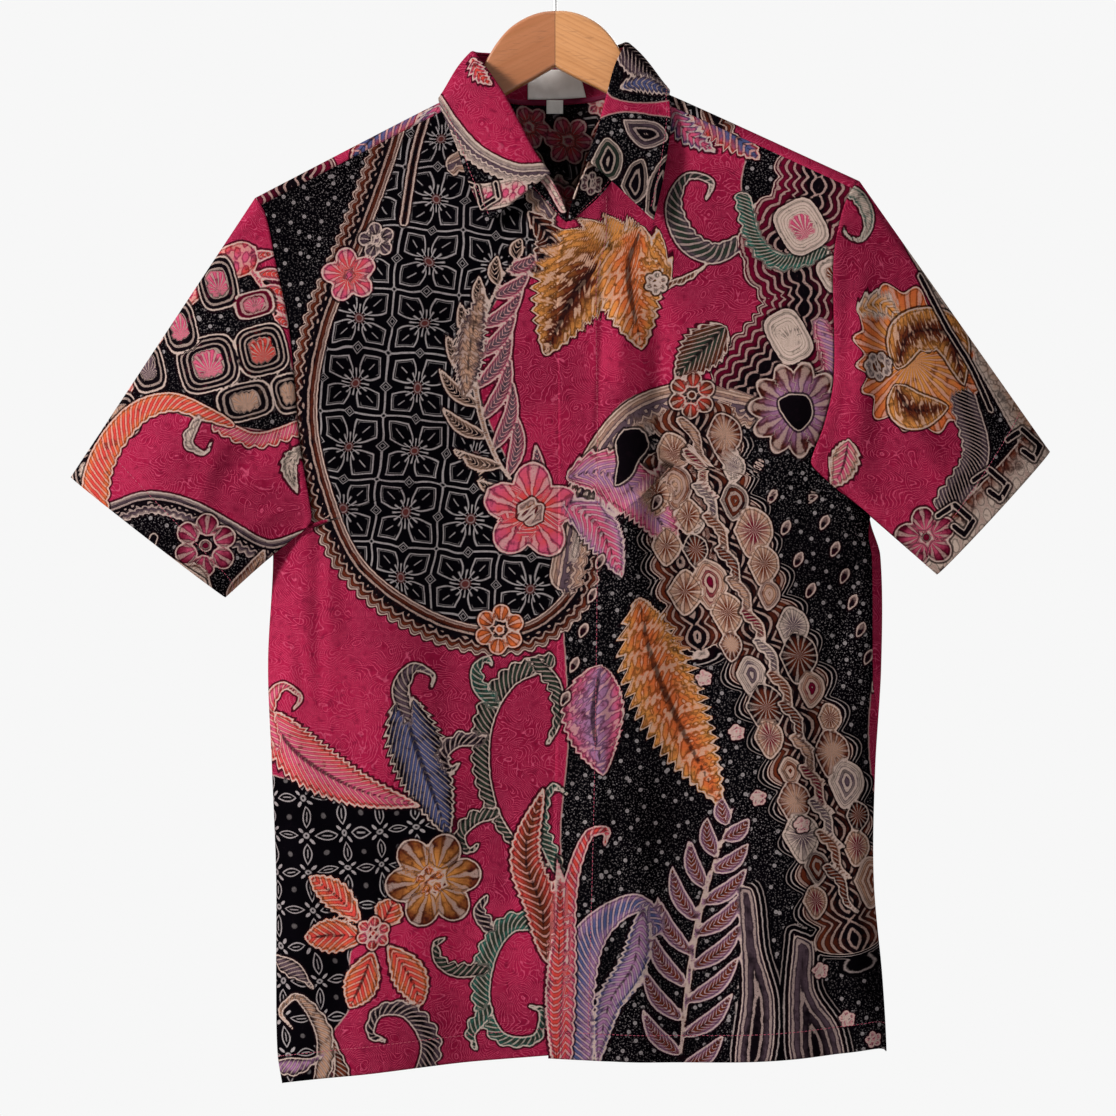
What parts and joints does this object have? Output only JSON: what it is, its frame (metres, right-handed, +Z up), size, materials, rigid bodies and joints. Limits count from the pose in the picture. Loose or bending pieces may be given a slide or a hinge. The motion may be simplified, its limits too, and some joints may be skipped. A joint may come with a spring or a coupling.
{
  "type": "batik shirt on wooden hanger",
  "caption": "Short-sleeved collared batik shirt with a concealed front fly, hung flat on a contoured wooden hanger with a wire hook.",
  "frame": {"origin": "the inside top of the hanger's hook, where it bears on a rail", "axes": "+Z up; -Y towards the viewer of the shirt's front; +X towards the wearer's left"},
  "size_m": [0.728, 0.1027, 0.8662],
  "materials": {
    "batik_front_right": "plain-woven cotton, wax-resist figures in crimson, black, coral and cream",
    "batik_front_left": "plain-woven cotton, wax-resist figures in black, crimson, gold and cream",
    "batik_fly": "plain-woven cotton in crimson",
    "batik_back": "plain-woven cotton, wax-resist figures, paler on the reverse",
    "batik_sleeve_right": "plain-woven cotton, wax-resist figures",
    "batik_sleeve_left": "plain-woven cotton, wax-resist figures",
    "batik_collar_stand": "interlined cotton",
    "batik_collar_leaf": "interlined cotton, edge-stitched",
    "label_weave": "damask-woven label, blank",
    "tag_weave": "satin-woven size tag, blank",
    "varnished_wood": "clear satin varnish",
    "hook_steel": "bright plated wire"
  },
  "bodies": {
    "root": {"front_right": "batik_front_right", "front_left": "batik_front_left", "fly_strip": "batik_fly", "back": "batik_back", "sleeve_right": "batik_sleeve_right", "sleeve_left": "batik_sleeve_left", "collar_stand": "batik_collar_stand", "collar_leaf": "batik_collar_leaf", "label": "label_weave", "size_tag": "tag_weave", "hanger_wood": "varnished_wood", "hanger_hook": "hook_steel"}
  },
  "joints": []
}
